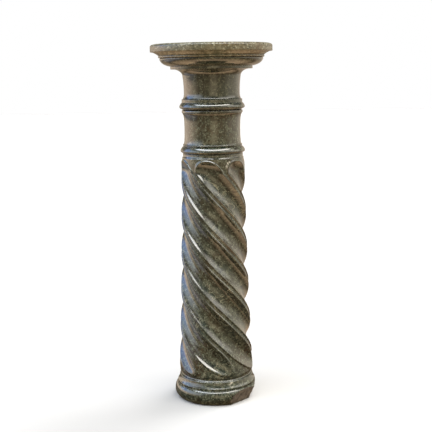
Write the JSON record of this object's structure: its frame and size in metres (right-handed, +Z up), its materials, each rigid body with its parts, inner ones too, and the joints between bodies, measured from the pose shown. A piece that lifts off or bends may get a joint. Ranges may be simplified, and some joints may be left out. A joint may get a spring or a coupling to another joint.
{
  "type": "twisted marble column",
  "caption": "Free-standing round marble pedestal column with spiral concave flutes, ringed collar, moulded capital, round slab top and a rounded foot with a broken edge.",
  "frame": {"origin": "centre of the foot's underside, on the floor", "axes": "+Z up along the column; the side that the picture shows faces -Y, with +X to the viewer's right"},
  "size_m": [0.337, 0.337, 1],
  "materials": {
    "shaft_marble": "polished green-brown marble with fine veins, worn and broken at the foot",
    "capital_marble": "polished green-brown marble with fine veins",
    "slab_marble": "polished grey-green marble with fine veins"
  },
  "bodies": {
    "root": {"fluted_shaft": "shaft_marble", "capital": "capital_marble", "top_slab": "slab_marble"}
  },
  "joints": []
}
